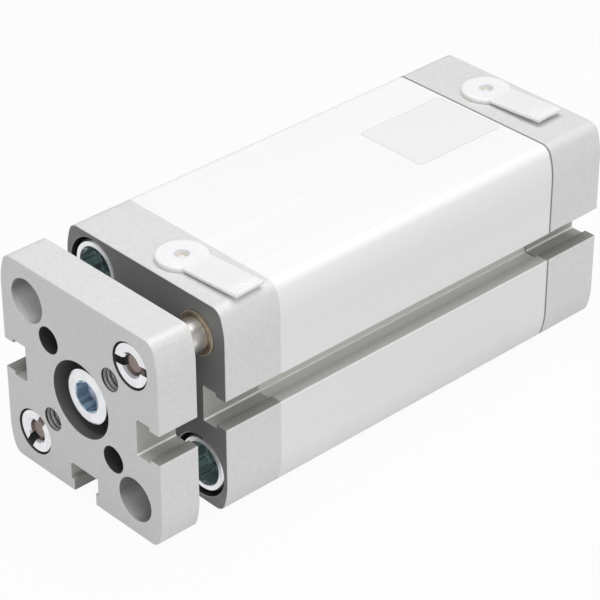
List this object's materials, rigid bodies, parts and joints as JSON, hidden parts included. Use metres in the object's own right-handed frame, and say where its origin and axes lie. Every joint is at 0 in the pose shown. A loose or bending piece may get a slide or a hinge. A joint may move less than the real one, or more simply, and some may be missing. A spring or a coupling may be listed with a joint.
{
  "type": "guided pneumatic cylinder",
  "caption": "Square compact air cylinder with slotted body, two guide rods and a yoke plate with mounting holes, moved by a piston rod.",
  "frame": {"origin": "centre of the rear mounting face, on the piston rod's axis", "axes": "+X along the stroke, from the rear face towards the yoke plate; +Z towards the side with the two supply ports; +Y completes the right-handed set. The unit stands retracted."},
  "size_m": [0.103, 0.0396, 0.0412],
  "materials": {
    "cap_aluminium": "matt fine-grained, clear anodised",
    "barrel_aluminium": "satin clear anodised, fine lengthwise lines",
    "yoke_aluminium": "matt fine-grained, clear anodised",
    "zinc_steel": "bright zinc plated",
    "guide_steel": "ground and polished",
    "rod_steel": "ground and polished",
    "bush_bronze": "sintered",
    "seal_polyurethane": "matt",
    "oring_rubber": "matt",
    "cushion_rubber": "matt",
    "piston_aluminium": "turned",
    "magnet": "plastic-bonded ferrite, matt",
    "guide_ring_plastic": "matt",
    "plug_plastic": "translucent, soft"
  },
  "bodies": {
    "housing": {"cylinder_barrel": "barrel_aluminium", "bearing_cap": "cap_aluminium", "end_cap": "cap_aluminium", "bearing_cap_screws": "zinc_steel", "end_cap_screws": "zinc_steel", "front_oring": "oring_rubber", "rear_oring": "oring_rubber", "rod_bush": "bush_bronze", "rod_seal": "seal_polyurethane", "guide_bushes": "bush_bronze"},
    "moving_unit": {"piston_rear_half": "piston_aluminium", "piston_front_half": "piston_aluminium", "piston_lip_seals": "seal_polyurethane", "piston_magnet": "magnet", "piston_guide_ring": "guide_ring_plastic", "rear_cushion": "cushion_rubber", "front_cushion": "cushion_rubber", "piston_screw": "zinc_steel", "piston_rod": "rod_steel", "yoke_plate": "yoke_aluminium", "yoke_screw": "zinc_steel", "guide_rods": "guide_steel", "guide_rod_nuts": "zinc_steel"},
    "front_plug": {"front_port_plug": "plug_plastic"},
    "rear_plug": {"rear_port_plug": "plug_plastic"}
  },
  "joints": [
    {"name": "stroke", "type": "slide", "parent": "housing", "child": "moving_unit", "axis": [1, 0, 0], "range_m": [0, 0.05]},
    {"name": "front_plug_pull", "type": "slide", "parent": "housing", "child": "front_plug", "axis": [0, 0, 1], "range_m": [0, 0.02]},
    {"name": "rear_plug_pull", "type": "slide", "parent": "housing", "child": "rear_plug", "axis": [0, 0, 1], "range_m": [0, 0.02]}
  ]
}
